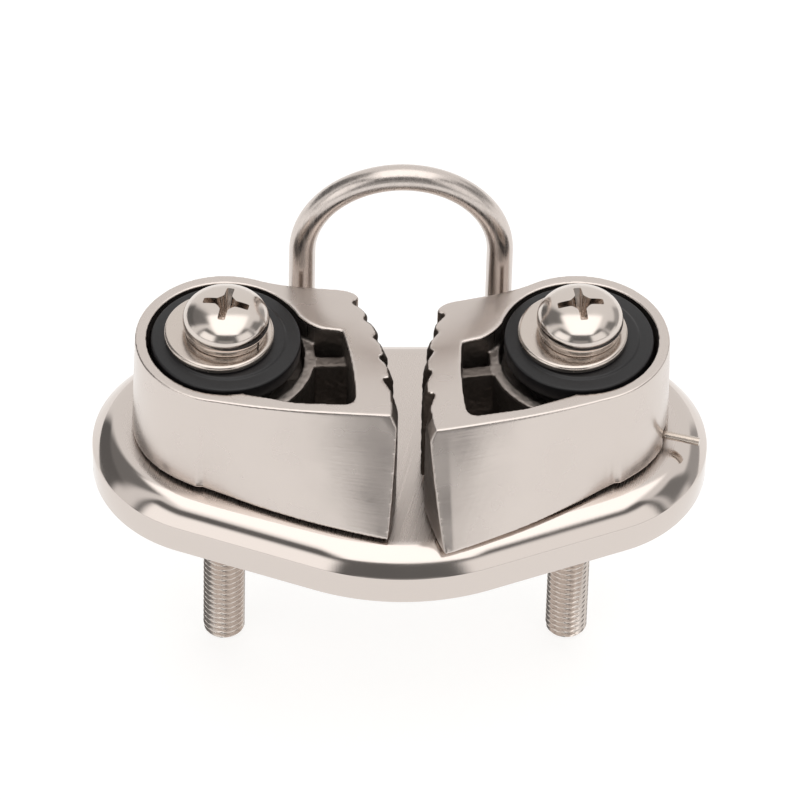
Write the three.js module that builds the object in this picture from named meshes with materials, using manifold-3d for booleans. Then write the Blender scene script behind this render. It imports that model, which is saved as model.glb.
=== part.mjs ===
// Cam cleat with a lead ring, in millimetres, +Z up.
// The origin is on the underside of the base, midway between the two pivots.
// +X runs from the left cam to the right cam, and +Y from the blunt nose to the lead ring.

import * as THREE from 'three';
import { mergeVertices } from 'three/addons/utils/BufferGeometryUtils.js';
import Module from 'manifold-3d';

const wasm = await Module();
wasm.setup();

// Driving dimensions
const PIVOT_X = 20;              // each pivot from the middle, 40 mm between centres
const CLEARANCE = 0.3;           // between pieces that turn, or that are fitted into one another

const BASE_HEIGHT = 6.3;
const SKIRT_HEIGHT = 3.8;        // upright side below the rounded shoulder
const SHOULDER_WIDTH = 3.2;      // the shoulder is a quarter ellipse
const LOBE_RADIUS = 15.2;
const NOSE_RADIUS = 27;
const NOSE_Y = -22.3;            // front of the nose
const BASE_EDGE_FILLET = 0.4;    // small round at the underside

const CAM_BOTTOM = 6.8;
const CAM_TOP = 20.2;
const CAM_END_RADIUS = 10.3;     // round end about the pivot, at the top
const CAM_DRAFT = 0.35;          // how much wider the round end is at the foot
const POCKET_RADIUS = 9;         // round pocket for the upper bush
const RIM_TOP = 17.5;            // rough ring between the round pocket and the wedge pocket
const RIM_RADIUS = 10.2;
const SPRING_RECESS_TOP = 11.8;
const HUB_TOP = 15;
const HUB_BORE = 5.3;
const RIGHT_CAM_OPEN = 8;        // degrees that the right cam stands open at rest

const JAW_RADIUS = 17.85;        // tooth tips on the line through both pivots
const JAW_GROWTH = 0.32;         // the tips lie on r = JAW_RADIUS * exp(growth * a + curl * a * a)
const JAW_CURL = 0.2;
const TOOTH_PITCH = 10.6;        // degrees
const FIRST_VALLEY = -22;        // degrees, counted towards the nose
const TOOTH_COUNT = 5;           // past the last tooth the jaw is smooth
const JAW_END = 47;              // degrees, beyond the front wall
const TOOTH_DEPTH = 1.1;
const TOOTH_RAMP = 0.72;         // share of the pitch that rises slowly
const JAW_BEVEL_WIDTH = 0.8;     // bevel that takes the tooth tips down at the top
const JAW_BEVEL_HEIGHT = 1.3;

const SLEEVE_RADIUS = 3.6;
const SLEEVE_BORE = 2.7;
const STACK_TOP = 20.5;          // upper end of the sleeve, where the washers start
const WASHER_RADIUS = 6.25;
const WASHER_BORE = 3.3;
const WASHER_THICKNESS = 1;
const LOCK_RADIUS = 4.6;
const LOCK_BORE = 2.6;
const LOCK_THICKNESS = 1;
const SCREW_RADIUS = 2.42;       // M5
const SCREW_LENGTH = 49.3;       // under the head
const HEAD_RADIUS = 4.9;
const HEAD_HEIGHT = 3.4;

const SPRING_WIRE = 0.95;
const SPRING_RADIUS = 7.1;
const SPRING_PITCH = 1.15;
const SPRING_TURNS = 2.6;
const SPRING_Z = 7.7;            // middle of the wire where the tail leaves the cam
const ANCHOR_RADIUS = 8.25;      // the other end runs down outside the coil into the base

const RING_WIRE = 3;
const RING_HALF_WIDTH = 11.25;
const RING_TOP = 34.6;           // middle of the bar at the top of the arch
const RING_Y = 11.2;
const RING_FOOT = 1;             // the legs end inside the base

// Materials
const POLISHED = { color: 0xcec1b9, roughness: 0.2, metalness: 1 };
const CAST = { color: 0xc4bab3, roughness: 0.35, metalness: 1 };
const ACETAL = { color: 0x1c1b1d, roughness: 0.45, metalness: 0 };
const SPRING_STEEL = { color: 0xa8a29c, roughness: 0.3, metalness: 1 };

const rad = THREE.MathUtils.degToRad;

// A geometry as a solid for cutting and joining, and back again.
function solid(geometry) {
  geometry.deleteAttribute('normal');
  geometry.deleteAttribute('uv');
  const merged = mergeVertices(geometry, 1e-4);
  const vertProperties = new Float32Array(merged.attributes.position.array);
  const triVerts = new Uint32Array(merged.index.array);
  return new wasm.Manifold(new wasm.Mesh({ numProp: 3, vertProperties, triVerts }));
}

function toGeometry(manifold) {
  const mesh = manifold.getMesh();
  const geometry = new THREE.BufferGeometry();
  geometry.setAttribute('position', new THREE.BufferAttribute(mesh.vertProperties, 3));
  geometry.setIndex(new THREE.BufferAttribute(mesh.triVerts, 1));
  geometry.computeVertexNormals();
  return geometry;
}

function namedMesh(name, shape, finish) {
  const geometry = shape.isBufferGeometry ? shape : toGeometry(shape);
  const mesh = new THREE.Mesh(geometry, new THREE.MeshStandardMaterial(finish));
  mesh.name = name;
  return mesh;
}

// An upright prism on a plan shape.
function prism(shape, bottom, top, curveSegments = 12) {
  const options = { depth: top - bottom, bevelEnabled: false, curveSegments };
  return new THREE.ExtrudeGeometry(shape, options).translate(0, 0, bottom);
}

// A turned piece: the profile holds [radius, z] points and is closed here.
function turned(profile, segments = 32) {
  const points = profile.map(([r, z]) => new THREE.Vector2(r, z));
  points.push(points[0].clone());
  return new THREE.LatheGeometry(points, segments).rotateX(Math.PI / 2);
}

function cylinder(radius, bottom, top, segments = 32) {
  return turned([[0, bottom], [radius, bottom], [radius, top], [0, top]], segments);
}

function tube(outer, inner, bottom, top, segments = 32) {
  return turned([[inner, bottom], [outer, bottom], [outer, top], [inner, top]], segments);
}

function box(width, depth, height, x, y, z) {
  return new THREE.BoxGeometry(width, depth, height).translate(x, y, z);
}

// Round bar along a curve.
function bar(curve, diameter, steps, sides = 10) {
  const section = new THREE.Shape();
  for (let i = 0; i < sides; i += 1) {
    const angle = i * 2 * Math.PI / sides;
    const x = diameter / 2 * Math.cos(angle);
    const y = diameter / 2 * Math.sin(angle);
    if (i === 0) section.moveTo(x, y);
    else section.lineTo(x, y);
  }
  return new THREE.ExtrudeGeometry(section, { steps, extrudePath: curve, curveSegments: 1 });
}

// Base plate: two lobes about the pivots, a nose in front and a straight back edge.
function baseOutline() {
  const noseCentreY = NOSE_Y + NOSE_RADIUS;
  const distance = Math.hypot(PIVOT_X, noseCentreY);
  const climb = Math.atan2(noseCentreY, PIVOT_X);
  const flank = climb - Math.asin((NOSE_RADIUS - LOBE_RADIUS) / distance);
  const normal = flank - Math.PI / 2;
  const shape = new THREE.Shape();
  shape.absarc(-PIVOT_X, 0, LOBE_RADIUS, Math.PI / 2, 2 * Math.PI + normal);
  shape.absarc(0, noseCentreY, NOSE_RADIUS, normal, -Math.PI - normal);
  shape.absarc(PIVOT_X, 0, LOBE_RADIUS, -Math.PI - normal, Math.PI / 2);
  return shape;
}

function basePlate() {
  const outline = baseOutline();
  const shouldered = new THREE.ExtrudeGeometry(outline, {
    depth: SKIRT_HEIGHT + 10,
    bevelThickness: BASE_HEIGHT - SKIRT_HEIGHT,
    bevelSize: SHOULDER_WIDTH,
    bevelOffset: -SHOULDER_WIDTH,
    bevelSegments: 6,
    curveSegments: 14,
  }).translate(0, 0, -10);
  const filleted = new THREE.ExtrudeGeometry(outline, {
    depth: 20,
    bevelThickness: BASE_EDGE_FILLET,
    bevelSize: BASE_EDGE_FILLET,
    bevelOffset: -BASE_EDGE_FILLET,
    bevelSegments: 2,
    curveSegments: 14,
  }).translate(0, 0, BASE_EDGE_FILLET);
  let plate = solid(shouldered).intersect(solid(filleted));
  for (const side of [-1, 1]) {
    const screwHole = cylinder(SLEEVE_BORE, -1, BASE_HEIGHT + 1, 32);
    plate = plate.subtract(solid(screwHole.translate(side * PIVOT_X, 0, 0)));
    const anchorHole = cylinder(SPRING_WIRE / 2 + CLEARANCE, -1, BASE_HEIGHT + 1, 12);
    const x = side * PIVOT_X + ANCHOR_RADIUS * Math.cos(anchorAngle(side));
    const y = ANCHOR_RADIUS * Math.sin(anchorAngle(side));
    plate = plate.subtract(solid(anchorHole.translate(x, y, 0)));
    const legHole = cylinder(RING_WIRE / 2 + CLEARANCE, -1, BASE_HEIGHT + 1, 24);
    plate = plate.subtract(solid(legHole.translate(side * RING_HALF_WIDTH, RING_Y, 0)));
  }
  return plate;
}

// Lead ring: two legs and a half circle between them.
function leadRing() {
  const archZ = RING_TOP - RING_HALF_WIDTH;
  const path = new THREE.CurvePath();
  const corner = (x, z) => new THREE.Vector3(x, RING_Y, z);
  path.add(new THREE.LineCurve3(corner(-RING_HALF_WIDTH, RING_FOOT), corner(-RING_HALF_WIDTH, archZ)));
  path.add(new HalfCircle(RING_HALF_WIDTH, RING_Y, archZ));
  path.add(new THREE.LineCurve3(corner(RING_HALF_WIDTH, archZ), corner(RING_HALF_WIDTH, RING_FOOT)));
  return bar(path, RING_WIRE, 36, 12);
}

// Half circle in an upright plane, from -X over the top to +X.
class HalfCircle extends THREE.Curve {
  constructor(radius, y, z) {
    super();
    this.radius = radius;
    this.y = y;
    this.z = z;
  }

  getPoint(t, target = new THREE.Vector3()) {
    const angle = Math.PI * (1 - t);
    return target.set(this.radius * Math.cos(angle), this.y, this.z + this.radius * Math.sin(angle));
  }
}

// Cam, drawn for the left side with the pivot at 0,0 and the jaw towards +X.
// hand is 1 for the left cam and -1 for the right one, which is its mirror image.
function jawTip(angle) {
  return JAW_RADIUS * Math.exp(JAW_GROWTH * angle + JAW_CURL * angle * angle);
}

// A point of the toothed jaw; pitches counts teeth from the first valley towards the nose.
function jawPoint(pitches, hand) {
  const angle = rad(FIRST_VALLEY + TOOTH_PITCH * pitches);
  const within = pitches - Math.floor(pitches);
  const rising = within < TOOTH_RAMP;
  let below = rising ? 1 - within / TOOTH_RAMP : (within - TOOTH_RAMP) / (1 - TOOTH_RAMP);
  if (pitches > TOOTH_COUNT - 1 + TOOTH_RAMP) below = 0;
  const radius = jawTip(angle) - TOOTH_DEPTH * Math.exp(1.2 * angle) * below;
  return [hand * radius * Math.cos(angle), -radius * Math.sin(angle)];
}

// Back wall, back corner and jaw, running far past the front wall that trims them.
function jawOutline(hand) {
  const shape = new THREE.Shape();
  shape.moveTo(-hand * CAM_END_RADIUS, -30);
  shape.lineTo(-hand * CAM_END_RADIUS, 0);
  const start = hand > 0 ? Math.PI : 0;
  const end = hand > 0 ? rad(66) : rad(114);
  shape.absarc(0, 0, CAM_END_RADIUS, start, end, hand > 0);
  shape.quadraticCurveTo(hand * 6.7, 8.62, hand * 9.1, 8.38);
  shape.lineTo(hand * 12.2, 8.06);
  shape.quadraticCurveTo(hand * 14.8, 7.9, hand * 15.2, 6.6);
  const steps = 4;
  for (let i = 0; i <= (JAW_END - FIRST_VALLEY) / TOOTH_PITCH * steps; i += 1) {
    shape.lineTo(...jawPoint(i / steps, hand));
  }
  shape.lineTo(hand * 17.5, -30);
  return shape;
}

// A wide body whose jaw side follows the tooth tips and is bevelled at the top. Towards the back
// it stands clear of the tips, so the bevel runs out there.
function bevelledJaw(hand) {
  const shape = new THREE.Shape();
  shape.moveTo(-hand * 40, -40);
  shape.lineTo(-hand * 40, 40);
  shape.lineTo(hand * 16.6, 40);
  for (let degrees = -20; degrees <= 50; degrees += 5) {
    const angle = rad(degrees);
    const clear = THREE.MathUtils.clamp((10 - degrees) / 30, 0, 1);
    const radius = jawTip(angle) + 0.05 + 0.6 * clear;
    shape.lineTo(hand * radius * Math.cos(angle), -radius * Math.sin(angle));
  }
  shape.lineTo(hand * 22, -40);
  const depth = 30;
  return new THREE.ExtrudeGeometry(shape, {
    depth,
    bevelThickness: JAW_BEVEL_HEIGHT,
    bevelSize: JAW_BEVEL_WIDTH,
    bevelOffset: -JAW_BEVEL_WIDTH,
    bevelSegments: 1,
  }).translate(0, 0, CAM_TOP - JAW_BEVEL_HEIGHT - depth);
}

// Front wall and round end, running far past the back and the jaw.
function frontOutline(hand) {
  const shape = new THREE.Shape();
  shape.moveTo(-hand * CAM_END_RADIUS, 30);
  shape.lineTo(-hand * CAM_END_RADIUS, 0);
  const start = hand > 0 ? Math.PI : 0;
  const end = hand > 0 ? rad(262) : rad(-82);
  shape.absarc(0, 0, CAM_END_RADIUS, start, end, hand < 0);
  const wall = [[3, -11.05], [7.9, -11.7], [12.6, -12.1], [17.2, -12.4]];
  shape.splineThru(wall.map(([x, y]) => new THREE.Vector2(hand * x, y)));
  shape.lineTo(hand * 30, -12.8);
  shape.lineTo(hand * 30, 30);
  return shape;
}

// The foot of the front wall stands further forward towards the jaw, so the wall leans back.
// The round end widens a little towards its foot.
function leanFront(geometry, hand) {
  const position = geometry.attributes.position;
  for (let i = 0; i < position.count; i += 1) {
    const along = hand * position.getX(i) + 3.5;
    const reach = (along + Math.hypot(along, 2)) / 2;
    const share = THREE.MathUtils.clamp(-position.getY(i) / 8, 0, 1);
    const down = (CAM_TOP - position.getZ(i)) / (CAM_TOP - CAM_BOTTOM);
    const forward = 0.385 * reach - 0.0038 * reach * reach;
    position.setY(i, position.getY(i) - share * down * forward);
  }
  return draftEnd(geometry);
}

function draftEnd(geometry) {
  const position = geometry.attributes.position;
  for (let i = 0; i < position.count; i += 1) {
    const radius = Math.hypot(position.getX(i), position.getY(i));
    if (Math.abs(radius - CAM_END_RADIUS) > 0.5) continue;
    const down = (CAM_TOP - position.getZ(i)) / (CAM_TOP - CAM_BOTTOM);
    const grow = 1 + CAM_DRAFT * down / radius;
    position.setX(i, position.getX(i) * grow);
    position.setY(i, position.getY(i) * grow);
  }
  return geometry;
}

// Wedge pocket between the round pocket and the jaw, open from top to bottom.
function wedgePocket(hand) {
  const shape = new THREE.Shape();
  shape.moveTo(0, 0);
  shape.lineTo(hand * 8.3, 3.6);
  shape.quadraticCurveTo(hand * 9.3, 2.2, hand * 11, 1.55);
  shape.lineTo(hand * 13.2, 1.2);
  shape.quadraticCurveTo(hand * 14.4, -4, hand * 14.5, -9.2);
  shape.quadraticCurveTo(hand * 14.5, -10.6, hand * 13, -10.6);
  shape.lineTo(hand * 7.9, -10.3);
  shape.lineTo(hand * 2, -8.9);
  return shape;
}

function cam(side) {
  const hand = -side;
  const front = leanFront(prism(frontOutline(hand), CAM_BOTTOM, CAM_TOP), hand);
  const jaw = draftEnd(prism(jawOutline(hand), CAM_BOTTOM, CAM_TOP));
  const block = solid(jaw).intersect(solid(front)).intersect(solid(bevelledJaw(hand)));
  const pocket = cylinder(POCKET_RADIUS, CAM_BOTTOM - 1, CAM_TOP + 1, 48);
  const wedge = prism(wedgePocket(hand), CAM_BOTTOM - 1, CAM_TOP + 1);
  const shell = block.subtract(solid(pocket)).subtract(solid(wedge));
  const rim = solid(tube(RIM_RADIUS, POCKET_RADIUS - 0.1, CAM_BOTTOM, RIM_TOP, 48));
  const rib = solid(box(6, 1.6, RIM_TOP - CAM_BOTTOM, hand * 11.8, -1, (RIM_TOP + CAM_BOTTOM) / 2));
  const hub = solid(tube(POCKET_RADIUS + 0.6, HUB_BORE, SPRING_RECESS_TOP, HUB_TOP, 48));
  const inside = rim.add(rib).add(hub).intersect(block);
  const opened = side > 0 ? rad(RIGHT_CAM_OPEN) : 0;
  const notchTop = SPRING_Z + SPRING_WIRE / 2 + 1;
  const notch = box(5, 2.2, notchTop, 0, 0, notchTop / 2)
    .translate(CAM_END_RADIUS, 0, 0)
    .rotateZ(tailAngle(side) - opened);
  return shell.add(inside).subtract(solid(notch));
}

// Black bushes, turning on the sleeve above and below the hub of the cam.
function upperBush() {
  const bore = SLEEVE_RADIUS + CLEARANCE;
  return turned([
    [bore, HUB_TOP - 1.5], [HUB_BORE - CLEARANCE, HUB_TOP - 1.5],
    [HUB_BORE - CLEARANCE, HUB_TOP + CLEARANCE], [6.6, HUB_TOP + CLEARANCE],
    [6.6, 17.9], [8.1, 17.9], [8.5, 18.3], [8.5, 19.8], [8.35, 20.2], [7.95, 20.35],
    [6.7, 20.35], [6.55, STACK_TOP], [bore, STACK_TOP],
  ], 36);
}

function lowerBush() {
  const bore = SLEEVE_RADIUS + CLEARANCE;
  return turned([
    [bore, BASE_HEIGHT], [6.2, BASE_HEIGHT], [6.2, SPRING_RECESS_TOP - CLEARANCE],
    [HUB_BORE - CLEARANCE, SPRING_RECESS_TOP - CLEARANCE],
    [HUB_BORE - CLEARANCE, HUB_TOP - 1.8], [bore, HUB_TOP - 1.8],
  ]);
}

// Torsion spring, drawn from the pivot. The tail comes out through the notch in the cam, the coil
// climbs round the lower bush, and the anchor leg runs down outside the coil into the base.
function tailAngle(side) {
  return side > 0 ? rad(-16.5) : rad(140);
}

function tailReach(side) {
  return side > 0 ? 14.6 : 11.2;
}

// The coil climbs the way that opening the cam winds it up.
function anchorAngle(side) {
  return tailAngle(side) - side * 2 * Math.PI * SPRING_TURNS;
}

function springPath(side) {
  const points = [];
  const add = (radius, angle, z) => {
    points.push(new THREE.Vector3(radius * Math.cos(angle), radius * Math.sin(angle), z));
  };
  const tail = tailAngle(side);
  add(tailReach(side), tail, SPRING_Z);
  add(10, tail, SPRING_Z);
  add(8.4, tail - side * rad(3), SPRING_Z);
  const stepsPerTurn = 14;
  const steps = Math.round(SPRING_TURNS * stepsPerTurn);
  for (let i = 2; i <= steps - 2; i += 1) {
    const turns = i / stepsPerTurn;
    add(SPRING_RADIUS, tail - side * 2 * Math.PI * turns, SPRING_Z + SPRING_PITCH * turns);
  }
  const anchor = anchorAngle(side);
  const top = SPRING_Z + SPRING_PITCH * SPRING_TURNS;
  add(ANCHOR_RADIUS - 0.1, anchor + side * rad(5), top - 0.2);
  add(ANCHOR_RADIUS, anchor, top - 1.2);
  add(ANCHOR_RADIUS, anchor, SPRING_Z);
  add(ANCHOR_RADIUS, anchor, BASE_HEIGHT / 2);
  return new THREE.CatmullRomCurve3(points, false, 'centripetal');
}

function torsionSpring(side) {
  return bar(springPath(side), SPRING_WIRE, 64, 8);
}

// Fasteners
function flatWasher() {
  return tube(WASHER_RADIUS, WASHER_BORE, STACK_TOP, STACK_TOP + WASHER_THICKNESS);
}

function lockWasher() {
  const bottom = STACK_TOP + WASHER_THICKNESS;
  const ring = solid(tube(LOCK_RADIUS, LOCK_BORE, bottom, bottom + LOCK_THICKNESS));
  const split = box(4, 0.5, 3, 3.6, 0, 0)
    .rotateX(rad(25))
    .rotateZ(rad(-70))
    .translate(0, 0, bottom + LOCK_THICKNESS / 2);
  return ring.subtract(solid(split));
}

function screw() {
  const seat = STACK_TOP + WASHER_THICKNESS + LOCK_THICKNESS;
  const tip = seat - SCREW_LENGTH;
  const profile = [[0, tip], [1.6, tip], [SCREW_RADIUS, tip + 1], [SCREW_RADIUS, seat]];
  profile.push([HEAD_RADIUS - 0.25, seat], [HEAD_RADIUS, seat + 0.35]);
  const crownSteps = 8;
  for (let i = 0; i <= crownSteps; i += 1) {
    const angle = i * Math.PI / 2 / crownSteps;
    const radius = HEAD_RADIUS * Math.cos(angle) ** 0.85;
    const z = seat + 0.8 + (HEAD_HEIGHT - 0.8) * Math.sin(angle);
    profile.push([i === crownSteps ? 0 : radius, z]);
  }
  const top = seat + HEAD_HEIGHT;
  const wing = new THREE.CylinderGeometry(3.75, 1.85, 3, 4, 1)
    .rotateY(Math.PI / 4)
    .scale(1, 1, 0.22)
    .rotateX(Math.PI / 2)
    .translate(0, 0, top - 1.1);
  const crossed = wing.clone().rotateZ(Math.PI / 2);
  return solid(turned(profile, 28)).subtract(solid(wing)).subtract(solid(crossed));
}

// Assembly
const cleat = new THREE.Group();
cleat.add(namedMesh('base_plate', basePlate(), POLISHED));
cleat.add(namedMesh('lead_ring', leadRing(), POLISHED));

for (const side of [-1, 1]) {
  const label = side < 0 ? 'left' : 'right';
  const station = new THREE.Group();
  station.position.x = side * PIVOT_X;
  const camMesh = namedMesh(`${label}_cam`, cam(side), CAST);
  if (side > 0) camMesh.rotation.z = rad(RIGHT_CAM_OPEN);
  station.add(camMesh);
  station.add(namedMesh(`${label}_upper_bush`, upperBush(), ACETAL));
  station.add(namedMesh(`${label}_lower_bush`, lowerBush(), ACETAL));
  station.add(namedMesh(`${label}_pivot_sleeve`,
    tube(SLEEVE_RADIUS, SLEEVE_BORE, BASE_HEIGHT, STACK_TOP), CAST));
  station.add(namedMesh(`${label}_torsion_spring`, torsionSpring(side), SPRING_STEEL));
  const washer = namedMesh(`${label}_flat_washer`, flatWasher(), POLISHED);
  washer.position.x = -0.75;
  station.add(washer);
  station.add(namedMesh(`${label}_lock_washer`, lockWasher(), POLISHED));
  station.add(namedMesh(`${label}_screw`, screw(), POLISHED));
  cleat.add(station);
}

export default cleat;
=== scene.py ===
# %% [markdown]
# # A cam cleat with a lead ring
# A cam cleat grips a rope between two sprung, toothed cams. This one is stainless steel: a
# polished base plate, two hollow cast cams turning in black bushes on long machine screws, and a
# bent lead ring that guides the rope in from behind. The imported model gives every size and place,
# and each visible piece is made again here with the softened edges and finishes of the real one.

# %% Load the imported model
import math

import bmesh
import bpy
from mathutils import Matrix, Vector, noise


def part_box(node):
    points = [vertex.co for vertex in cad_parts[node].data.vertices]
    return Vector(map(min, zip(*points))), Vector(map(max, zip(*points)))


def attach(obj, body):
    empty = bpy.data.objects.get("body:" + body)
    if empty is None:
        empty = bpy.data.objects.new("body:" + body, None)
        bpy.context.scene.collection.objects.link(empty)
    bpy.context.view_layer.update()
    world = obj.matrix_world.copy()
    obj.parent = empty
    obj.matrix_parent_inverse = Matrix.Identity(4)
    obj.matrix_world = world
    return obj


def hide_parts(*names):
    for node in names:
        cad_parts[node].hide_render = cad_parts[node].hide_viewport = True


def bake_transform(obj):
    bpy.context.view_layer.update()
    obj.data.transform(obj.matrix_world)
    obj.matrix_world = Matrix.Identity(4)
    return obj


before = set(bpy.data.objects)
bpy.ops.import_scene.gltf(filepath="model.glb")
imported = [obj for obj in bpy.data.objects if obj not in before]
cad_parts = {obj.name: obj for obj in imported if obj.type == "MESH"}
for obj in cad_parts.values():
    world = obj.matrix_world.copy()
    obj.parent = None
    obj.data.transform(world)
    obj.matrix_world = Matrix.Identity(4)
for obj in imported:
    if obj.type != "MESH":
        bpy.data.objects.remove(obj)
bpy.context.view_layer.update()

# %% [markdown]
# ## Places
# Shapes are thought of in millimetres, as on a drawing, and Blender works in metres, so `MM` turns
# one into the other. The pivots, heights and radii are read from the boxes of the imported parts.

# %% Millimetres and the main places
MM = 0.001
SIDES = ("left", "right")


def box_mm(node):
    low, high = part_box(node)
    return low / MM, high / MM


def middle_mm(node):
    low, high = box_mm(node)
    return (low + high) / 2


pivot = {side: middle_mm(f"{side}_pivot_sleeve") for side in SIDES}
base_low, base_high = box_mm("base_plate")
base_top = base_high.z
cam_bottom, cam_top = (corner.z for corner in box_mm("left_cam"))
stack_top = box_mm("left_flat_washer")[0].z
print("pivots at x =", [round(pivot[side].x, 2) for side in SIDES], "mm, base top", round(base_top, 2))

# %% [markdown]
# ## Making meshes
# Almost every piece here is a skin over rows of points: a turned part is a profile carried round
# an axis, a bar is a circle carried along a path, and the base plate is one outline stacked up in
# rounded steps. One helper joins rows with quads, so the surfaces stay even and reflect cleanly.

# %% Skin over rows of points
def skin(rows, wrapped=False):
    """Joins closed rows of points with quads. Wrapped joins the last row to the first, and otherwise
    both ends get a cap."""
    mesh = bmesh.new()
    lines = [[mesh.verts.new(Vector(point) * MM) for point in row] for row in rows]
    around = len(lines[0])
    pairs = list(zip(lines, lines[1:]))
    if wrapped:
        pairs.append((lines[-1], lines[0]))
    for lower, upper in pairs:
        for i in range(around):
            j = (i + 1) % around
            mesh.faces.new((lower[i], lower[j], upper[j], upper[i]))
    if not wrapped:
        mesh.faces.new(list(reversed(lines[0])))
        mesh.faces.new(lines[-1])
    bmesh.ops.recalc_face_normals(mesh, faces=mesh.faces)
    return mesh


# %% Profiles with rounded corners
def rounded(corners, radius, steps=4):
    """Replaces each corner of a closed profile with an arc-like curve of about that radius."""
    points = []
    for i, corner in enumerate(corners):
        here = Vector(corner)
        before = Vector(corners[i - 1]) - here
        after = Vector(corners[(i + 1) % len(corners)]) - here
        reach = min(radius, before.length * 0.45, after.length * 0.45)
        start = here + before.normalized() * reach
        end = here + after.normalized() * reach
        for k in range(steps + 1):
            t = k / steps
            points.append(start * (1 - t) ** 2 + here * 2 * t * (1 - t) + end * t * t)
    return points


def turned(profile, centre, segments=96):
    """A part turned on the lathe: a closed profile of (radius, height) carried round a vertical axis."""
    rows = []
    for radius, height in profile:
        row = []
        for i in range(segments):
            angle = 2 * math.pi * i / segments
            row.append((centre.x + radius * math.cos(angle), centre.y + radius * math.sin(angle), height))
        rows.append(row)
    return skin(rows, wrapped=True)


# %% Round bar along a path
def bent_bar(path, radius, sides=32):
    """A round bar along a list of points; radius is one number, or one for each point."""
    path = [Vector(point) for point in path]
    radii = radius if isinstance(radius, list) else [radius] * len(path)
    tangents = [(b - a).normalized() for a, b in zip([path[0]] + path[:-1], path[1:] + [path[-1]])]
    side = tangents[0].orthogonal().normalized()
    rows = []
    for point, tangent, thick in zip(path, tangents, radii):
        side = (side - tangent * side.dot(tangent)).normalized()
        other = tangent.cross(side)
        rows.append([point + (side * math.cos(a) + other * math.sin(a)) * thick
                     for a in (2 * math.pi * i / sides for i in range(sides))])
    return skin(rows)


# %% Putting a finished mesh in the scene
def place(name, mesh, finish, body, node, sharp=40):
    """Makes the object, shades it smooth except at sharp edges, ties it to its body and hides the imported
    part it stands for.
    """
    data = bpy.data.meshes.new(name)
    if isinstance(mesh, bmesh.types.BMesh):
        mesh.to_mesh(data)
        mesh.free()
    else:
        data = mesh
    data.materials.clear()
    for each in finish if isinstance(finish, list) else [finish]:
        data.materials.append(each)
    data.shade_smooth()
    data.set_sharp_from_angle(angle=math.radians(sharp))
    piece = bpy.data.objects.new(name, data)
    bpy.context.scene.collection.objects.link(piece)
    if body:
        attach(piece, body)
    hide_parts(node)
    print(f"{name}: {len(data.vertices)} points")
    return piece


def cut(mesh, cutters):
    """The mesh with the cutters taken away from it."""
    body = bpy.data.objects.new("blank", bpy.data.meshes.new("blank"))
    mesh.to_mesh(body.data)
    mesh.free()
    bpy.context.scene.collection.objects.link(body)
    tools = []
    for cutter in cutters:
        tool = bpy.data.objects.new("cutter", bpy.data.meshes.new("cutter"))
        cutter.to_mesh(tool.data)
        cutter.free()
        bpy.context.scene.collection.objects.link(tool)
        difference = body.modifiers.new("cut", "BOOLEAN")
        difference.operation = "DIFFERENCE"
        difference.solver = "EXACT"
        difference.object = tool
        tools.append(tool)
    result = evaluated_mesh(body)
    for spare in tools + [body]:
        bpy.data.objects.remove(spare)
    return result


def evaluated_mesh(shape):
    bpy.context.view_layer.update()
    seen = shape.evaluated_get(bpy.context.evaluated_depsgraph_get())
    return bpy.data.meshes.new_from_object(seen)


# %% [markdown]
# ## Making materials
# Colours are written as the sRGB hex values that a colour picker gives and turned to the linear
# numbers that the shader works in. One helper adds a node with its settings and its links.

# %% Colours and nodes
def colour(hex_value):
    channels = [int(hex_value[i:i + 2], 16) / 255 for i in (1, 3, 5)]
    linear = [c / 12.92 if c <= 0.04045 else ((c + 0.055) / 1.055) ** 2.4 for c in channels]
    return (*linear, 1.0)


def add(tree, kind, sockets=None, **settings):
    """Adds a node. Each socket takes a plain value, or another node's output to link."""
    node = tree.nodes.new(kind)
    for key, value in settings.items():
        setattr(node, key, value)
    for key, value in (sockets or {}).items():
        if isinstance(value, bpy.types.NodeSocket):
            tree.links.new(value, node.inputs[key])
        else:
            node.inputs[key].default_value = value
    return node


def new_finish(name, **constants):
    """A material with a bare shader; what is the same all over is set on the shader itself."""
    material = bpy.data.materials.new(name)
    material.use_nodes = True
    shader = material.node_tree.nodes["Principled BSDF"]
    for socket, value in constants.items():
        shader.inputs[socket.replace("_", " ")].default_value = value
    return material, material.node_tree, shader


def scaled_place(tree, across, along, tall, turn=0.0):
    """Object coordinates divided by a grain size in millimetres in each direction."""
    place_of = add(tree, "ShaderNodeTexCoord")
    sizes = (1 / (across * MM), 1 / (along * MM), 1 / (tall * MM))
    turned_place = add(tree, "ShaderNodeVectorRotate", {"Vector": place_of.outputs["Object"], "Angle": turn})
    return add(tree, "ShaderNodeVectorMath", {0: turned_place.outputs[0], 1: sizes},
               operation="MULTIPLY").outputs[0]


def ramp(tree, value, stops):
    """A colour ramp with grey stops given as (position, brightness)."""
    node = add(tree, "ShaderNodeValToRGB", {"Fac": value})
    elements = node.color_ramp.elements
    while len(elements) < len(stops):
        elements.new(0.5)
    for element, (position, brightness) in zip(elements, stops):
        element.position = position
        element.color = (brightness, brightness, brightness, 1)
    return node.outputs[0]


# %% [markdown]
# ## Polished stainless steel, for the base plate and the lead ring
# The plate is 316 stainless that was ground, then buffed. The buffed shoulder mirrors the room
# with only faint grinding marks left in it, while the flat land on top keeps the fine straight
# hairlines of the belt. Hairlines are a few hundredths of a millimetre wide, drawn here 0.12 mm
# wide so that they show. The mask between the two is simply which way the surface faces.

# %% Polished plate
STEEL = "#D1C8C2"


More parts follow.
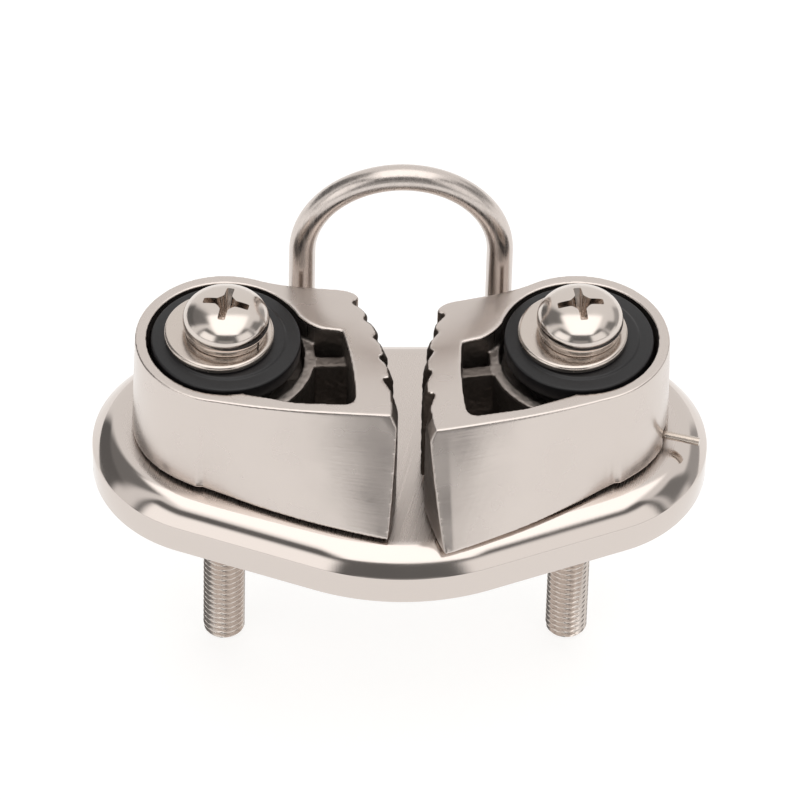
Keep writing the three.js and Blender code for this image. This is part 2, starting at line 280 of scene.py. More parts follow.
def polished_plate():
    material, tree, shader = new_finish("polished_316_plate", Base_Color=colour(STEEL), Metallic=1.0)
    facing = add(tree, "ShaderNodeSeparateXYZ", {0: add(tree, "ShaderNodeNewGeometry").outputs["Normal"]})
    land = ramp(tree, facing.outputs["Z"], [(0.985, 0.0), (0.998, 1.0)])
    hair = add(tree, "ShaderNodeTexNoise", {
        "Vector": scaled_place(tree, 0.12, 9.0, 1.0, math.radians(14)), "Scale": 1.0, "Detail": 2.0})
    grind = add(tree, "ShaderNodeTexNoise", {
        "Vector": scaled_place(tree, 0.35, 5.0, 5.0), "Scale": 1.0, "Detail": 3.0})
    smudge = add(tree, "ShaderNodeTexNoise", {
        "Vector": scaled_place(tree, 7.0, 7.0, 7.0), "Scale": 1.0, "Detail": 4.0})
    marks = add(tree, "ShaderNodeMix", {"Factor": land, 2: grind.outputs["Fac"], 3: hair.outputs["Fac"]})
    rough_shoulder = add(tree, "ShaderNodeMapRange", {
        "Value": smudge.outputs["Fac"], "From Min": 0.3, "From Max": 0.7, "To Min": 0.07, "To Max": 0.14})
    rough_land = add(tree, "ShaderNodeMapRange", {
        "Value": hair.outputs["Fac"], "From Min": 0.3, "From Max": 0.7, "To Min": 0.24, "To Max": 0.36})
    rough = add(tree, "ShaderNodeMix", {
        "Factor": land, 2: rough_shoulder.outputs[0], 3: rough_land.outputs[0]})
    strength = add(tree, "ShaderNodeMapRange", {"Value": land, "To Min": 0.05, "To Max": 0.16})
    bump = add(tree, "ShaderNodeBump", {
        "Strength": strength.outputs[0], "Distance": 0.02 * MM, "Height": marks.outputs[0]})
    tree.links.new(rough.outputs[0], shader.inputs["Roughness"])
    tree.links.new(bump.outputs[0], shader.inputs["Normal"])
    return material


def drawn_bar():
    material, tree, shader = new_finish("polished_drawn_bar", Base_Color=colour(STEEL), Metallic=1.0)
    streak = add(tree, "ShaderNodeTexNoise", {
        "Vector": scaled_place(tree, 0.5, 0.5, 14.0), "Scale": 1.0, "Detail": 3.0})
    rough = add(tree, "ShaderNodeMapRange", {
        "Value": streak.outputs["Fac"], "From Min": 0.3, "From Max": 0.7, "To Min": 0.2, "To Max": 0.32})
    bump = add(tree, "ShaderNodeBump", {
        "Strength": 0.12, "Distance": 0.03 * MM, "Height": streak.outputs["Fac"]})
    tree.links.new(rough.outputs[0], shader.inputs["Roughness"])
    tree.links.new(bump.outputs[0], shader.inputs["Normal"])
    return material


plate_finish = polished_plate()
bar_finish = drawn_bar()
print("finishes:", plate_finish.name, bar_finish.name)

# %% [markdown]
# ## Cast stainless steel, for the cams
# The cams are investment castings. Outside they were belted and buffed to a soft shine; inside the
# pockets and between the teeth the skin is as it came from the mould, dull and grainy, and darker:
# partly its own colour and partly painted shade in these hollows, deepest in the tooth valleys. The
# mesh carries a value called `cast_skin_and_shade`, near 1 on that skin and 0 where it was buffed,
# and the finish mixes between the two by it. The grain is drawn 0.35 mm wide, coarser than it is, so
# that it shows.

# %% Cast steel, polished outside and raw inside, with painted shade in the hollows
def cast_steel():
    material, tree, shader = new_finish("cast_316_cam", Metallic=1.0)
    raw_and_shade = add(tree, "ShaderNodeAttribute", attribute_name="cast_skin_and_shade").outputs["Fac"]
    grain = add(tree, "ShaderNodeTexNoise", {
        "Vector": scaled_place(tree, 0.35, 0.35, 0.35), "Scale": 1.0, "Detail": 4.0})
    belt = add(tree, "ShaderNodeTexNoise", {
        "Vector": scaled_place(tree, 6.0, 6.0, 0.3, math.radians(20)), "Scale": 1.0, "Detail": 3.0})
    cloud = add(tree, "ShaderNodeTexNoise", {
        "Vector": scaled_place(tree, 5.0, 5.0, 5.0), "Scale": 1.0, "Detail": 3.0})
    # The dark colour mixed in is partly the skin's own and partly painted shade in the pockets and tooth
    # valleys.
    skin_and_shade_tint = add(tree, "ShaderNodeMix", {
        0: raw_and_shade, 6: colour(STEEL), 7: colour("#5C534C")}, data_type="RGBA")
    polished_rough = add(tree, "ShaderNodeMapRange", {
        "Value": cloud.outputs["Fac"], "From Min": 0.3, "From Max": 0.7, "To Min": 0.2, "To Max": 0.3})
    rough = add(tree, "ShaderNodeMix", {"Factor": raw_and_shade, 2: polished_rough.outputs[0], 3: 0.6})
    height = add(tree, "ShaderNodeMix", {"Factor": raw_and_shade, 2: belt.outputs["Fac"], 3: grain.outputs["Fac"]})
    strength = add(tree, "ShaderNodeMapRange", {"Value": raw_and_shade, "To Min": 0.06, "To Max": 0.9})
    bump = add(tree, "ShaderNodeBump", {
        "Strength": strength.outputs[0], "Distance": 0.06 * MM, "Height": height.outputs[0]})
    tree.links.new(skin_and_shade_tint.outputs[2], shader.inputs["Base Color"])
    tree.links.new(rough.outputs[0], shader.inputs["Roughness"])
    tree.links.new(bump.outputs[0], shader.inputs["Normal"])
    return material


cast_finish = cast_steel()
print("finish:", cast_finish.name)

# %% [markdown]
# ## Black acetal, and the fasteners' steels
# The bushes are moulded acetal, black and slightly waxy: a dielectric with a soft highlight and a
# faint speckle. Washers are stamped and tumbled, the screws are bright with a rolled thread, and the
# spring is drawn wire, a little duller. All their grain is drawn coarser than it is, so that it shows.

# %% Acetal and small steels
def black_acetal():
    material, tree, shader = new_finish("moulded_black_acetal", Base_Color=colour("#161517"), IOR=1.48)
    speckle = add(tree, "ShaderNodeTexNoise", {
        "Vector": scaled_place(tree, 0.4, 0.4, 0.4), "Scale": 1.0, "Detail": 3.0})
    rough = add(tree, "ShaderNodeMapRange", {
        "Value": speckle.outputs["Fac"], "From Min": 0.3, "From Max": 0.7, "To Min": 0.34, "To Max": 0.46})
    bump = add(tree, "ShaderNodeBump", {
        "Strength": 0.15, "Distance": 0.02 * MM, "Height": speckle.outputs["Fac"]})
    tree.links.new(rough.outputs[0], shader.inputs["Roughness"])
    tree.links.new(bump.outputs[0], shader.inputs["Normal"])
    return material


def small_steel(name, hex_value, smooth, dull, grain_mm, depth_mm):
    """Steel of a small part: roughness between smooth and dull, with a fine even grain."""
    material, tree, shader = new_finish(name, Base_Color=colour(hex_value), Metallic=1.0)
    grain = add(tree, "ShaderNodeTexNoise", {
        "Vector": scaled_place(tree, grain_mm, grain_mm, grain_mm), "Scale": 1.0, "Detail": 4.0})
    rough = add(tree, "ShaderNodeMapRange", {
        "Value": grain.outputs["Fac"], "From Min": 0.3, "From Max": 0.7, "To Min": smooth, "To Max": dull})
    bump = add(tree, "ShaderNodeBump", {
        "Strength": 0.2, "Distance": depth_mm * MM, "Height": grain.outputs["Fac"]})
    tree.links.new(rough.outputs[0], shader.inputs["Roughness"])
    tree.links.new(bump.outputs[0], shader.inputs["Normal"])
    return material


acetal_finish = black_acetal()
washer_finish = small_steel("tumbled_washer_steel", "#D0C6BE", 0.16, 0.28, 0.5, 0.01)
screw_finish = small_steel("bright_screw_steel", "#D4CBC4", 0.13, 0.2, 1.2, 0.01)
sleeve_finish = small_steel("turned_sleeve_steel", "#C4BAB2", 0.25, 0.35, 0.3, 0.01)
wire_finish = small_steel("drawn_spring_wire", "#C6BBB1", 0.18, 0.3, 0.4, 0.01)
# The cross recess is coloured dark brown: painted shade inside the recess.
recess_shade_finish = small_steel("recess_painted_shade_steel", "#76655A", 0.3, 0.45, 0.3, 0.02)
print("finishes:", acetal_finish.name, washer_finish.name, screw_finish.name, recess_shade_finish.name)

# %% [markdown]
# ## Base plate
# Seen from above the plate is two round lobes about the pivots and a blunt nose, joined by straight
# flanks. It could be a filleted solid, but a mirror finish shows every uneven facet, so it is one
# outline repeated at each step of the edge: up the skirt, over the rounded shoulder, onto the
# land. Moving an outline inwards along its own normals keeps the arcs true.

# %% Outline of the base
LOBE_RADIUS = 15.2
NOSE_RADIUS = 27.0
SHOULDER_WIDTH = 4.0
SKIRT_HEIGHT = 3.8


def base_outline():
    """Points of the outline, each with its outward normal, counter-clockwise from the back left."""
    nose_y = base_low.y + NOSE_RADIUS
    reach = abs(pivot["left"].x)
    lean = math.atan2(nose_y, reach)
    slant = lean - math.asin((NOSE_RADIUS - LOBE_RADIUS) / math.hypot(reach, nose_y)) - math.pi / 2
    arcs = [
        (-reach, 0.0, LOBE_RADIUS, math.pi / 2, 2 * math.pi + slant, 90),
        (0.0, nose_y, NOSE_RADIUS, 2 * math.pi + slant, math.pi - slant, 60),
        (reach, 0.0, LOBE_RADIUS, math.pi - slant, math.pi * 2.5, 90),
    ]
    outline = []
    for centre_x, centre_y, radius, start, end, steps in arcs:
        for i in range(steps + 1):
            angle = start + (end - start) * i / steps
            normal = Vector((math.cos(angle), math.sin(angle)))
            outline.append((Vector((centre_x, centre_y)) + normal * radius, normal))
    return filled_between(outline)


def filled_between(outline, spacing=0.8):
    """Adds points along the straight stretches, so that the quads stay short."""
    points = []
    for (here, normal), (there, next_normal) in zip(outline, outline[1:] + outline[:1]):
        points.append((here, normal))
        extra = int((there - here).length / spacing)
        for k in range(1, extra + 1):
            t = k / (extra + 1)
            points.append((here.lerp(there, t), normal.lerp(next_normal, t).normalized()))
    return points


outline = base_outline()
print("outline points:", len(outline))


# %% The plate as stacked outlines
UNDER_FILLET = 0.45
SCREW_HOLE_RADIUS = 2.7


def base_plate():
    # Each step is how far the outline stands in, and at which height.
    steps = [(UNDER_FILLET * (1 - math.sin(a)), base_low.z + UNDER_FILLET * (1 - math.cos(a)))
             for a in (math.radians(d) for d in range(0, 91, 18))]
    crease = base_low.z + SKIRT_HEIGHT
    steps += [(0.0, crease - 0.12), (0.02, crease)]
    crown = base_top - crease
    # The shoulder is a cubic curve: a nearly straight lean above the crease, then a bend to the land.
    bend = [Vector(corner) for corner in
            ((0, 0), (0.85, 0.48 * crown), (1.9, crown), (SHOULDER_WIDTH, crown))]
    for i in range(1, 29):
        t = i / 28
        spot = (bend[0] * (1 - t) ** 3 + bend[1] * 3 * t * (1 - t) ** 2
                + bend[2] * 3 * t * t * (1 - t) + bend[3] * t ** 3)
        steps.append((spot.x, crease + spot.y))
    # A narrow flat ring inside each face keeps its shading flat.
    steps = [(1.5, base_low.z)] + steps
    steps += [(SHOULDER_WIDTH + 0.4, base_top), (SHOULDER_WIDTH + 1.2, base_top)]
    rows = [[(*(point - normal * inset), height) for point, normal in outline] for inset, height in steps]
    return skin(rows)


def screw_hole(side):
    bottom, top = base_low.z - 2, base_top + 2
    profile = [(0.01, bottom), (SCREW_HOLE_RADIUS, bottom), (SCREW_HOLE_RADIUS, top), (0.01, top)]
    return turned(profile, pivot[side], 64)


plate = cut(base_plate(), [screw_hole(side) for side in SIDES])
place("polished_base", plate, plate_finish, "base", "base_plate", sharp=50)

# %% [markdown]
# ## Lead ring
# One length of 3 mm bar, bent over a former into a half circle with straight legs, and welded to the
# plate. It is a circle swept along that line; near the plate the circle swells into the weld bead.

# %% Lead ring
RING_WIRE = 3.0
WELD_HEIGHT = 0.9
WELD_WIDTH = 0.75


def lead_ring():
    low, high = box_mm("lead_ring")
    half = (high.x - low.x - RING_WIRE) / 2
    y = (low.y + high.y) / 2
    arch = high.z - RING_WIRE / 2 - half
    leg = [low.z, base_top - 0.3] + [base_top + WELD_HEIGHT * i / 5 for i in range(6)]
    leg += [base_top + WELD_HEIGHT + (arch - base_top - WELD_HEIGHT) * i / 8 for i in range(1, 8)]
    left = [(-half, y, z) for z in leg]
    bends = [math.pi * i / 72 for i in range(73)]
    over = [(-half * math.cos(a), y, arch + half * math.sin(a)) for a in bends]
    right = [(half, y, z) for z in reversed(leg)]
    path = left + over + right
    radii = []
    for _, _, z in path:
        above = min(max((z - base_top) / WELD_HEIGHT, 0), 1)
        radii.append(RING_WIRE / 2 + WELD_WIDTH * (1 - above) ** 2)
    return bent_bar(path, radii, sides=48)


place("bent_lead_ring", lead_ring(), bar_finish, "base", "lead_ring")

# %% [markdown]
# ## Cams
# A casting has no truly sharp edge. The imported cam is re-skinned with a fine even net of points
# (0.14 mm), which is then relaxed so that every edge rounds over by a few tenths. After that points
# are moved: a grain where the skin was never polished, and a slow waviness on the outside, left by
# buffing by hand. It could all be bump, but real dents also show in the outline.

# %% Where a cam was left as cast, and where shade is painted in its hollows
POCKET_RADIUS = 9.0
RIM_TOP = 17.5
LAST_TOOTH = math.radians(29)
CAM_OPEN = {"left": 0.0, "right": math.radians(8)}
JAW_RADIUS = 17.85
JAW_GROWTH = 0.32        # how fast the spiral of the jaw widens
JAW_EXTRA_GROWTH = 0.2   # and how much faster towards the nose
# Plan of the wedge pocket, a little wider than it is, drawn for the left cam from its pivot.
WEDGE = [(6.0, 5.0), (8.3, 3.7), (9.3, 2.5), (11.0, 1.7), (13.2, 1.35), (14.2, -2.0), (14.65, -6.5),
         (14.7, -9.4), (14.2, -10.6), (13.0, -10.8), (7.9, -10.5), (2.0, -9.1), (0.0, 0.0)]


def inside_wedge(x, y):
    """Whether a point of the left-handed cam is in the plan of the wedge pocket."""
    inside = False
    for (ax, ay), (bx, by) in zip(WEDGE, WEDGE[1:] + WEDGE[:1]):
        if (ay > y) != (by > y) and x < ax + (y - ay) / (by - ay) * (bx - ax):
            inside = not inside
    return inside


def jaw_tips(angle):
    """Radius of the tooth tips, which lie on a spiral, at an angle counted towards the nose."""
    return JAW_RADIUS * math.exp(JAW_GROWTH * angle + JAW_EXTRA_GROWTH * angle * angle)


def rawness_and_shade(side, point, normal):
    """Near 1 where the casting skin was left unpolished and its hollows take painted shade, 0 where it was
    polished.
    """
    shut = Matrix.Rotation(-CAM_OPEN[side], 2)
    hand = 1 if side == "left" else -1
    x, y = shut @ (point - pivot[side]).xy
    x, facing = hand * x, hand * (shut @ normal.xy).x
    radius, angle = math.hypot(x, y), math.atan2(-y, x)
    # Inside the pockets the skin is unpolished and darkened by painted shade, a little less on the rim's
    # crest.
    if point.z < cam_top - 0.35 and (radius < POCKET_RADIUS + 0.4 or inside_wedge(x, y)):
        crest = point.z > RIM_TOP - 0.4 and POCKET_RADIUS - 0.1 < radius < POCKET_RADIUS + 1.3
        return 0.55 if crest else 0.82
    # Between the teeth it grows with depth, so the valleys get darker: the cast skin, and painted shade.
    if -0.4 < angle < 0.85 and facing > 0.3:
        depth = jaw_tips(angle) - radius
        if depth < 3.2:
            return 0.3 if angle > LAST_TOOTH else min(0.75 + depth * 0.5, 1.0)
    return 0.0


print("jaw radius on the line through the pivots:", round(jaw_tips(0), 2), "mm")


# %% Cams
NET = 0.14
RELAX_STEPS = 14
FINE_GRAIN = (0.55, 0.07)        # each is a size and a height in millimetres
COARSE_GRAIN = (1.6, 0.08)
BUFFING_WAVE = (5.0, 0.03)


def bumps(point, kind):
    size, height = kind
    return noise.noise(point / size) * height



def cast_cam(side):
    blank = bpy.data.objects.new("blank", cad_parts[f"{side}_cam"].data.copy())
    bpy.context.scene.collection.objects.link(blank)
    mesh = bmesh.new()
    mesh.from_mesh(blank.data)
    bmesh.ops.remove_doubles(mesh, verts=mesh.verts, dist=0.002 * MM)
    mesh.to_mesh(blank.data)
    mesh.free()
    net = blank.modifiers.new("net", "REMESH")
    net.mode = "VOXEL"
    net.voxel_size = NET * MM
    relax = blank.modifiers.new("relax", "SMOOTH")
    relax.factor = 0.5
    relax.iterations = RELAX_STEPS
    data = evaluated_mesh(blank)
    bpy.data.objects.remove(blank)
    # The value marks the unpolished skin and the painted shade in the hollows.
    raw_and_shade = data.attributes.new("cast_skin_and_shade", "FLOAT", "POINT")
    points = [vertex.co / MM for vertex in data.vertices]
    normals = [vertex.normal.copy() for vertex in data.vertices]
    moved, amounts = [], []
    for point, normal in zip(points, normals):
        amount = rawness_and_shade(side, point, normal)
        grain = bumps(point, FINE_GRAIN) + bumps(point, COARSE_GRAIN)
        wave = bumps(point, BUFFING_WAVE)
        amounts.append(amount)
        moved.extend((point + normal * (amount * grain + (1 - amount) * wave)) * MM)
    raw_and_shade.data.foreach_set("value", amounts)
    data.vertices.foreach_set("co", moved)
    return data


for side in SIDES:
    place(f"{side}_cast_cam", cast_cam(side), cast_finish, f"{side}_cam", f"{side}_cam",
          sharp=180)

# %% [markdown]
# ## Bushes and sleeves
# Acetal bushes run on a steel sleeve, one above the hub of the cam and one below. All are turned
# parts: a profile with broken corners carried round the pivot.

# %% Bushes and sleeves
def upper_bush(side):
    low, high = box_mm(f"{side}_upper_bush")
    top = high.z
    corners = [(3.9, low.z), (5.0, low.z), (5.0, low.z + 1.8), (6.6, low.z + 1.8), (6.6, 17.9), (8.1, 17.9),
               (8.5, 18.3), (8.5, 20.2), (6.95, 20.3), (6.7, top), (3.9, top)]
    return turned(rounded(corners, 0.3), pivot[side], 128)


def lower_bush(side):
    low, high = box_mm(f"{side}_lower_bush")
    corners = [(3.9, low.z), (6.2, low.z), (6.2, 11.5), (5.0, 11.5), (5.0, high.z), (3.9, high.z)]
    return turned(rounded(corners, 0.2), pivot[side])


def sleeve(side):
    low, high = box_mm(f"{side}_pivot_sleeve")
    return turned(rounded([(2.7, low.z), (3.6, low.z), (3.6, high.z), (2.7, high.z)], 0.12), pivot[side])


for side in SIDES:
    place(f"{side}_top_bush", upper_bush(side), acetal_finish, "base", f"{side}_upper_bush")
    place(f"{side}_foot_bush", lower_bush(side), acetal_finish, "base", f"{side}_lower_bush")
    place(f"{side}_sleeve", sleeve(side), sleeve_finish, "base", f"{side}_pivot_sleeve")

# %% [markdown]
# ## Washers
# The flat washer is stamped and tumbled, so its edges are rounded. The lock washer is one turn of
# square wire, cut through and sprung a little apart.

# %% Washers
GAP_ANGLE = {"left": -38, "right": 95}


def flat_washer(side):
    low, high = box_mm(f"{side}_flat_washer")
    profile = rounded([(3.3, low.z), (6.25, low.z), (6.25, high.z), (3.3, high.z)], 0.45, steps=6)
    return turned(profile, middle_mm(f"{side}_flat_washer"), 128)


def lock_washer(side):
    low, high = box_mm(f"{side}_lock_washer")
    section = rounded([(2.6, low.z), (4.6, low.z), (4.6, high.z - 0.05), (2.6, high.z - 0.05)], 0.22)
    rows = []
    for i in range(121):
        angle = math.radians(GAP_ANGLE[side] + 2 + 356 * i / 120)
        lift = 0.05 * i / 120
        rows.append([(pivot[side].x + radius * math.cos(angle), radius * math.sin(angle), height + lift)
                     for radius, height in section])
    return skin(rows)


for side in SIDES:
    place(f"{side}_stamped_washer", flat_washer(side), washer_finish, "base",
          f"{side}_flat_washer")
    place(f"{side}_spring_washer", lock_washer(side), washer_finish, "base",
          f"{side}_lock_washer")

# %% [markdown]
# ## Screws
# M5 pan head machine screws with a cross recess. The whole screw is one skin of circles from tip to
# crown. On the thread each point's radius depends on how far round the helix it is, which makes a
# true 0.8 mm pitch thread rather than a stack of grooves. The recess is cut by a tapered star.

# %% Thread, shank and head
SCREW_RADIUS = 2.42
THREAD_PITCH = 0.8
THREAD_DEPTH = 0.42
THREAD_TOP = 0.4
ROWS_PER_TURN = 12
TIP_RADIUS = 1.75
HEAD_RADIUS = 4.9
HEAD_RIM = 0.8           # height of the upright rim, below the crown


def thread_radius(height, angle):
    turns = height / THREAD_PITCH - angle / (2 * math.pi)
    from_crest = abs(2 * (turns - math.floor(turns)) - 1)
    return SCREW_RADIUS - THREAD_DEPTH * min(max((from_crest - 0.14) / 0.6, 0), 1)


def screw_rows(side):
    low, high = box_mm(f"{side}_screw")
    seat = box_mm(f"{side}_lock_washer")[1].z
    centre = pivot[side]
    around = 72
    angles = [2 * math.pi * i / around for i in range(around)]
    rows = []
    count = int((THREAD_TOP - low.z) / THREAD_PITCH * ROWS_PER_TURN)
    for k in range(count + 1):
        height = low.z + k * THREAD_PITCH / ROWS_PER_TURN
        chamfer = TIP_RADIUS + (height - low.z) * 1.1
        runout = SCREW_RADIUS - THREAD_DEPTH * min(max((THREAD_TOP - height) / THREAD_PITCH, 0), 1)
        rows.append([(max(min(thread_radius(height, a), chamfer), min(runout, chamfer)), a, height)
                     for a in angles])
    for radius, height in [(SCREW_RADIUS, THREAD_TOP + 0.3), (SCREW_RADIUS, seat - 0.02),
                           (HEAD_RADIUS - 0.35, seat), (HEAD_RADIUS - 0.12, seat + 0.06),
                           (HEAD_RADIUS - 0.02, seat + 0.2), (HEAD_RADIUS, seat + 0.45)]:
        rows.append([(radius, a, height) for a in angles])
    crown = high.z - seat - HEAD_RIM
    for i in range(30):
        lean = math.radians(i * 3)
        radius = HEAD_RADIUS * math.cos(lean) ** 0.85
        rows.append([(radius, a, seat + HEAD_RIM + crown * math.sin(lean)) for a in angles])
    rows.append([(0.05, a, high.z) for a in angles])
    return [[(centre.x + r * math.cos(a), centre.y + r * math.sin(a), z) for r, a, z in row] for row in rows]


print("thread turns:", round((THREAD_TOP - box_mm("left_screw")[0].z) / THREAD_PITCH))

# %% Cross recess
RECESS_TURN = {"left": math.radians(-13), "right": math.radians(7.5)}
RECESS_DEPTH = 2.7
RECESS_REACH = 2.6
WING_HALF_WIDTH = 0.43
CORNER_STAR = 2.9        # a four-pointed star of this reach fills the corners between the wings


def recess(side):
    """Four blunt wings with filleted corners between them, narrowing as they go down."""
    top = box_mm(f"{side}_screw")[1].z
    levels = [(top + 1.0, 1.25), (top - 0.35, 1.0), (top - 1.6, 0.72), (top - RECESS_DEPTH, 0.42)]
    rows = []
    for height, scale in levels:
        row = []
        for i in range(144):
            a = 2 * math.pi * i / 144
            off = abs((a + math.pi / 4) % (math.pi / 2) - math.pi / 4)
            wing = WING_HALF_WIDTH / max(math.sin(off), 0.01)
            star = CORNER_STAR / (math.sqrt(math.cos(off)) + math.sqrt(math.sin(off))) ** 2
            radius = min(max(wing, star), RECESS_REACH / math.cos(off)) * scale
            turn = a + RECESS_TURN[side]
            row.append((pivot[side].x + radius * math.cos(turn),
                        pivot[side].y + radius * math.sin(turn), height))
        rows.append(row)
    return skin(rows)


def screw(side):
    data = cut(skin(screw_rows(side)), [recess(side)])
    top = box_mm(f"{side}_screw")[1].z
    for face in data.polygons:
        spot = face.center / MM - pivot[side]
        in_reach = math.hypot(spot.x, spot.y) < RECESS_REACH + 0.05
        in_depth = face.center.z / MM > top - RECESS_DEPTH - 0.1
        on_crown = face.normal.xy.dot(spot.xy) > -0.02 and face.normal.z > 0.6
        # Faces inside the recess take the second, dark finish, which paints the recess's shade.
        face.material_index = 1 if in_reach and in_depth and not on_crown else 0
    return data


for side in SIDES:
    place(f"{side}_machine_screw", screw(side), [screw_finish, recess_shade_finish], "base",
          f"{side}_screw", sharp=35)

# %% [markdown]
# ## Torsion springs
# Each spring is wound from 0.95 mm wire: a tail through the notch in the cam, a coil round the foot
# bush, and a leg down into the plate. The coil with its tail is one bar fixed in place, and the leg
# is tied to the plate.

# %% Springs
WIRE = 0.95
COIL_RADIUS = 7.1
COIL_PITCH = 1.15
COIL_TURNS = 2.6
LEG_RADIUS = 8.25
TAIL = {"left": (math.radians(140), 11.2), "right": (math.radians(-16.5), 14.6)}
START_Z = 7.7


def smooth_line(points, steps=8):
    """A curve through all the points, with steps short pieces between neighbours."""
    line = []
    padded = [points[0]] + points + [points[-1]]
    for a, b, c, d in zip(padded, padded[1:], padded[2:], padded[3:]):
        for k in range(steps):
            t = k / steps
            line.append(0.5 * (2 * b + (c - a) * t + (2 * a - 5 * b + 4 * c - d) * t ** 2
                               + (3 * b - a - 3 * c + d) * t ** 3))
    return line + [points[-1]]


def spring_lines(side):
    """The coil with its tail, and the leg, as two lines of points."""
    hand = 1 if side == "right" else -1
    tail_angle, reach = TAIL[side]

    def at(radius, angle, height):
        return Vector((pivot[side].x + radius * math.cos(angle), radius * math.sin(angle), height))

    coil = [at(reach, tail_angle, START_Z), at(10, tail_angle, START_Z),
            at(8.4, tail_angle - hand * math.radians(3), START_Z)]
    steps = round(COIL_TURNS * 20)
    for i in range(3, steps - 1):
        turns = i / 20
        coil.append(at(COIL_RADIUS, tail_angle - hand * 2 * math.pi * turns, START_Z + COIL_PITCH * turns))
    leg_angle = tail_angle - hand * 2 * math.pi * COIL_TURNS
    top = START_Z + COIL_PITCH * COIL_TURNS
    shoulder = at(LEG_RADIUS - 0.1, leg_angle + hand * math.radians(5), top - 0.2)
    leg = [shoulder, at(LEG_RADIUS, leg_angle, top - 1.2), at(LEG_RADIUS, leg_angle, START_Z),
           at(LEG_RADIUS, leg_angle, base_top / 2)]
    return smooth_line(coil + [shoulder]), smooth_line(leg)


for side in SIDES:
    coil_line, leg_line = spring_lines(side)
    coil = place(f"{side}_spring_coil", bent_bar(coil_line, WIRE / 2, 16), wire_finish, None,
                 f"{side}_torsion_spring")
    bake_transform(coil)
    place(f"{side}_spring_leg", bent_bar(leg_line, WIRE / 2, 16), wire_finish, "base",
          f"{side}_torsion_spring")

# %% [markdown]
# ## Studio
# Polished steel shows the room more than itself, so the light is arranged as in a studio for small
# metal goods: a pale light table under the part, a pale tent all round, a large box overhead, two
# smaller ones low at the front corners, and dark cards between and behind them that draw the shape
# of every curve. The tent is the world's light, painted by direction; a card or box is a soft-edged
# patch of it.

# %% Light table
def light_table():
    mesh = bmesh.new()
    reach, height = 2.0, box_mm("left_screw")[0].z * MM
    corners = [mesh.verts.new((x, y, height)) for x, y in
               ((-reach, -reach), (reach, -reach), (reach, reach), (-reach, reach))]
    mesh.faces.new(corners)
    data = bpy.data.meshes.new("light_table")
    mesh.to_mesh(data)
    mesh.free()
    # Opal acrylic lit from below: mostly its own even glow, so shadows on it stay faint.
    material, tree, shader = new_finish("opal_acrylic", Base_Color=colour("#9A9A9A"), Roughness=0.7)
    cloud = add(tree, "ShaderNodeTexNoise", {
        "Vector": scaled_place(tree, 900.0, 900.0, 900.0), "Scale": 1.0, "Detail": 1.0})
    glow = add(tree, "ShaderNodeMapRange", {
        "Value": cloud.outputs["Fac"], "To Min": 0.76, "To Max": 0.78})
    shader.inputs["Emission Color"].default_value = (1.0, 0.995, 0.985, 1.0)
    tree.links.new(glow.outputs[0], shader.inputs["Emission Strength"])
    data.materials.append(material)
    table = bpy.data.objects.new("light_table", data)
    bpy.context.scene.collection.objects.link(table)


light_table()


# %% Levels of the tent, the boxes and the cards
TENT_LEVEL = 0.95
OVERHEAD_LEVEL = 1.75
# Azimuth from the front (right is positive), half width, lowest and highest elevation, softness, level.
CARDS = [
    (0, 70, 3, 50, 8, 0.16),
    (0, 16, 0, 17, 5, 0.4),
    (-48, 15, 7, 36, 8, 1.4),
    (48, 15, 7, 36, 8, 1.15),
    (-117, 18, 24, 60, 14, 0.22),
    (-120, 20, 0, 22, 8, 0.15),
    (118, 16, 0, 18, 8, 0.45),
    (92, 9, 14, 38, 8, 0.25),
]
print("cards and boxes:", len(CARDS))


# %% Painting the tent
def near(tree, value, middle, half, soft):
    """1 within half of the middle, falling to 0 over soft beyond it."""
    offset = add(tree, "ShaderNodeMath", {0: value, 1: middle}, operation="SUBTRACT")
    apart = add(tree, "ShaderNodeMath", {0: offset.outputs[0]}, operation="ABSOLUTE")
    return add(tree, "ShaderNodeMapRange", {
        "Value": apart.outputs[0], "From Min": half, "From Max": half + soft,
        "To Min": 1.0, "To Max": 0.0}, interpolation_type="SMOOTHSTEP").outputs[0]


def patch(tree, below, across, along, level):
    """Paints a patch of brightness over what is below it; across and along are masks."""
    mask = add(tree, "ShaderNodeMath", {0: across, 1: along}, operation="MULTIPLY")
    return add(tree, "ShaderNodeMix", {"Factor": mask.outputs[0], 2: below, 3: level}).outputs[0]


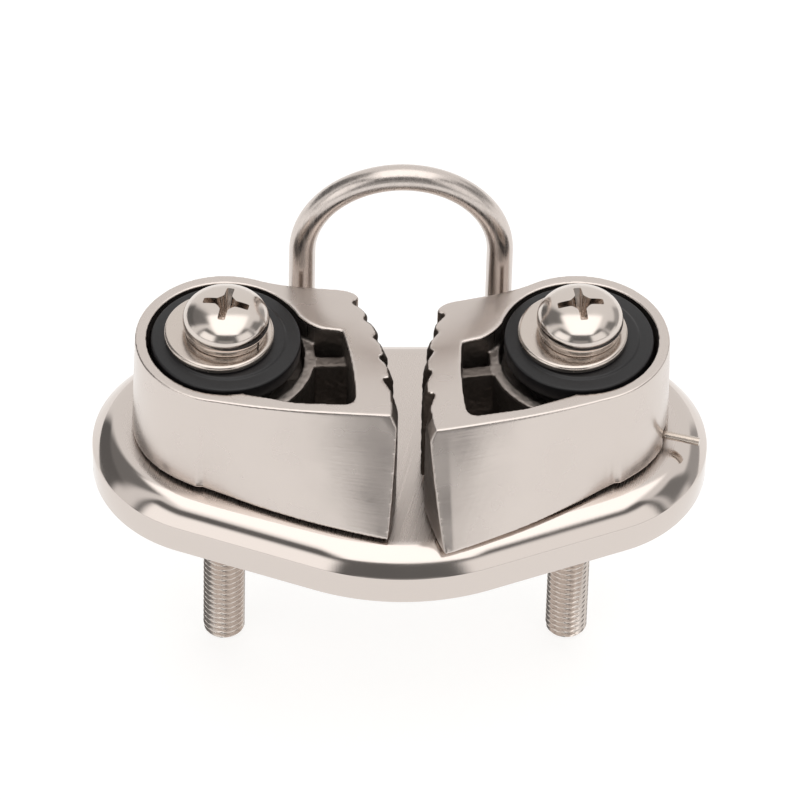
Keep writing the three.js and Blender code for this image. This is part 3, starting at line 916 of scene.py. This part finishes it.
def tent():
    world = bpy.data.worlds.new("tent")
    bpy.context.scene.world = world
    world.use_nodes = True
    tree = world.node_tree
    ways = add(tree, "ShaderNodeSeparateXYZ", {0: add(tree, "ShaderNodeTexCoord").outputs["Generated"]})
    x, y, z = ways.outputs
    front = add(tree, "ShaderNodeMath", {0: y, 1: -1.0}, operation="MULTIPLY").outputs[0]
    azimuth = add(tree, "ShaderNodeMath", {0: x, 1: front}, operation="ARCTAN2").outputs[0]
    height = add(tree, "ShaderNodeMath", {0: z}, operation="ARCSINE").outputs[0]
    safe = add(tree, "ShaderNodeMath", {0: z, 1: 0.05}, operation="MAXIMUM").outputs[0]
    sideways = add(tree, "ShaderNodeMath", {0: x, 1: safe}, operation="DIVIDE").outputs[0]
    endways = add(tree, "ShaderNodeMath", {0: y, 1: safe}, operation="DIVIDE").outputs[0]

    def card(below, azimuth_degrees, half, low, high, soft, level):
        across = near(tree, azimuth, math.radians(azimuth_degrees), math.radians(half), math.radians(soft))
        middle, reach = math.radians((low + high) / 2), math.radians((high - low) / 2)
        return patch(tree, below, across, near(tree, height, middle, reach, math.radians(soft)), level)

    light = add(tree, "ShaderNodeValue")
    light.outputs[0].default_value = TENT_LEVEL
    shade = light.outputs[0]
    for azimuth_degrees, half, low, high, soft, level in CARDS:
        shade = card(shade, azimuth_degrees, half, low, high, soft, level)
    across = near(tree, sideways, 0.08, 0.45, 0.2)
    shade = patch(tree, shade, across, near(tree, endways, -0.18, 0.57, 0.12), OVERHEAD_LEVEL)
    background = tree.nodes["Background"]
    background.inputs["Color"].default_value = (1.0, 0.985, 0.97, 1.0)
    tree.links.new(shade, background.inputs["Strength"])


tent()
print("world:", bpy.context.scene.world.name)

# %% [markdown]
# ## Camera
# A long lens from nearly a metre away, half-way between a front view and a plan, and turned a little.

# %% Camera
AZIMUTH = math.radians(-2.22)
ELEVATION = math.radians(45)
ROLL = math.radians(1.51)
DISTANCE = 976
AIM_ACROSS, AIM_UP = 0.09, 7.37
SENSOR_WIDTH = 36
LENS = 382.5

back = Vector((math.sin(AZIMUTH) * math.cos(ELEVATION), -math.cos(AZIMUTH) * math.cos(ELEVATION),
               math.sin(ELEVATION)))


def upright_axes(back):
    across = Vector((-back.y, back.x, 0)).normalized()
    up = back.cross(across)
    across_rolled = across * math.cos(ROLL) + up * math.sin(ROLL)
    return across_rolled, back.cross(across_rolled)


across, up = upright_axes(back)
aim = across * AIM_ACROSS + up * AIM_UP
location = back * DISTANCE
back = (location - aim).normalized()
across, up = upright_axes(back)
camera = bpy.data.objects.new("camera", bpy.data.cameras.new("camera"))
camera.matrix_world = Matrix.Translation(location * MM) @ Matrix((across, up, back)).transposed().to_4x4()
camera.data.sensor_width = SENSOR_WIDTH
camera.data.lens = LENS
camera.data.clip_end = 20
bpy.context.scene.collection.objects.link(camera)
bpy.context.scene.camera = camera
bpy.context.scene.view_settings.view_transform = "Standard"
